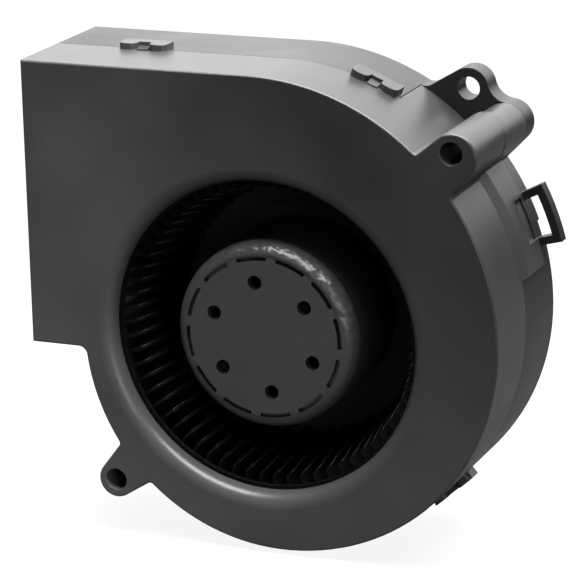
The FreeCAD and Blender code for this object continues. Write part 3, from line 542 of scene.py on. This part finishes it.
def board_varnish(name):
    material, tree, shader = new_material(name, Roughness=0.3, Coat_Weight=0.4)
    place = node(tree, "TexCoord").outputs["Object"]
    cells = node(tree, "TexVoronoi", {"Vector": place, "Scale": scale_for(island_mm)},
                 distance="CHEBYCHEV", feature="F1")
    track = node(tree, "Math", {0: cells, 1: track_starts}, operation="GREATER_THAN")
    skin = node(tree, "Mix", {"Factor": track, "A": linear("#12492a"), "B": linear("#2a6b3c")},
                data_type="RGBA")
    surface = node(tree, "Bump", {"Strength": 0.5, "Distance": 0.05 * mm, "Height": track})
    plug(tree, shader, {"Base Color": skin, "Normal": surface})
    return material


board_mask = board_varnish("varnished_circuit_board")
print("materials", len(bpy.data.materials))

# %% [markdown]
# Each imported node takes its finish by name. Its shape stays as it is; only
# the material in its slot changes. A table of names is easy to read, and it
# shows at once whether a node was left without a finish.

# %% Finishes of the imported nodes
finishes = {
    "front_cover": cover_material, "rear_housing": housing_material,
    "impeller_hub": hub_material, "impeller_blades": impeller_material,
    "impeller_front_ring": impeller_material, "rotor_cup": drawn_steel,
    "rotor_magnet": magnet_ferrite, "shaft_bush": turned_brass, "shaft": bearing_steel,
    "thrust_washer": washer_acetal, "retaining_ring": zinc_steel,
    "motor_flange": cast_alloy, "motor_screws": zinc_steel, "cable_grommet": grommet_rubber,
    "bearing_tube": turned_brass, "preload_spring": zinc_steel,
    "bearing_shields": zinc_steel, "stator_core": laminated_steel,
    "front_insulator": insulator_nylon, "rear_insulator": insulator_nylon,
    "stator_coils": copper_wire, "circuit_board": board_mask, "driver_chips": chip_epoxy,
    "capacitors": can_alloy, "hall_sensors": chip_epoxy,
}
for end in ("front", "rear"):
    finishes[end + "_bearing_outer"] = bearing_steel
    finishes[end + "_bearing_inner"] = bearing_steel
    finishes[end + "_bearing_balls"] = bearing_steel
    finishes[end + "_bearing_cage"] = cage_nylon
for name, material in finishes.items():
    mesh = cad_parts[name].data
    mesh.materials.clear()
    mesh.materials.append(material)
left = sorted(set(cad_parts) - set(finishes))
print("finished", len(finishes), "nodes, without a finish:", left)

# %% [markdown]
# The four screws that hold the motor are seen from behind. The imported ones
# have a plain round recess. These are drawn with a cross recess that narrows
# to its floor, as a pressed head has, and a rolled edge round the head. The
# recess could be cut out of a plain screw, but that leaves untidy faces. So
# rings of points are joined by strips of faces, down from the head's edge to
# the tip and from the recess's mouth to its floor, and the top is filled last.

# %% Rings of points and strips of faces
def ring_of(shape, outline, y):
    return [shape.verts.new((x, y, z)) for x, z in outline]


def strip(shape, first, second):
    for k, point in enumerate(first):
        after = (k + 1) % len(first)
        shape.faces.new((point, first[after], second[after], second[k]))


def circle_outline(centre, radius, count=48):
    turns = [2 * math.pi * k / count for k in range(count)]
    return [(centre[0] + radius * math.cos(a), centre[1] + radius * math.sin(a)) for a in turns]


def cross_outline(centre, reach, half_width):
    corner = [(reach, -half_width), (reach, half_width), (half_width, half_width)]
    points = []
    for k in range(4):
        c, s = round(math.cos(math.pi * k / 2)), round(math.sin(math.pi * k / 2))
        points += [(centre[0] + c * x - s * z, centre[1] + s * x + c * z) for x, z in corner]
    return points


print("a cross has", len(cross_outline((0, 0), 2, 1)), "points")

# %% One screw
head_radius, shank_radius, head_height = 2.9 * mm, 1.45 * mm, 1.6 * mm
rolled_edge_width, rolled_edge_depth = 0.15 * mm, 0.12 * mm
recess_mouth = (1.5 * mm, 0.36 * mm)
recess_foot = (0.6 * mm, 0.24 * mm)
recess_depth = 1.1 * mm


def cross_screw(shape, centre, back_y, tip_y):
    head = [(head_radius - rolled_edge_width, 0), (head_radius, rolled_edge_depth),
            (shank_radius, head_height)]
    rings = [ring_of(shape, circle_outline(centre, radius), back_y - depth)
             for radius, depth in head]
    rings.append(ring_of(shape, circle_outline(centre, shank_radius), tip_y))
    for first, second in zip(rings, rings[1:]):
        strip(shape, first, second)
    shape.faces.new(rings[-1])
    mouth = ring_of(shape, cross_outline(centre, *recess_mouth), back_y)
    foot = ring_of(shape, cross_outline(centre, *recess_foot), back_y - recess_depth)
    strip(shape, mouth, foot)
    shape.faces.new(foot)
    rims = []
    for loop in (rings[0], mouth):
        rims += [shape.edges.get((loop[k], loop[k - 1])) for k in range(len(loop))]
    bmesh.ops.triangle_fill(shape, edges=rims, use_beauty=True)


# %% Four motor screws
screws_low, screws_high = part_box("motor_screws")
from_axis = screws_high[0] - head_radius
shape = bmesh.new()
for x in (-from_axis, from_axis):
    for z in (-from_axis, from_axis):
        cross_screw(shape, (x, z), screws_high[1], screws_low[1])
bmesh.ops.recalc_face_normals(shape, faces=shape.faces)
screws_mesh = bpy.data.meshes.new("cross_recess_screws")
shape.to_mesh(screws_mesh)
shape.free()
screws_mesh.materials.append(zinc_steel)
cross_screws = bpy.data.objects.new("cross_recess_screws", screws_mesh)
bpy.context.scene.collection.objects.link(cross_screws)
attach(cross_screws, "housing")
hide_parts("motor_screws")
print("screws stand", round(math.hypot(from_axis, from_axis) / mm, 2), "mm from the axis")
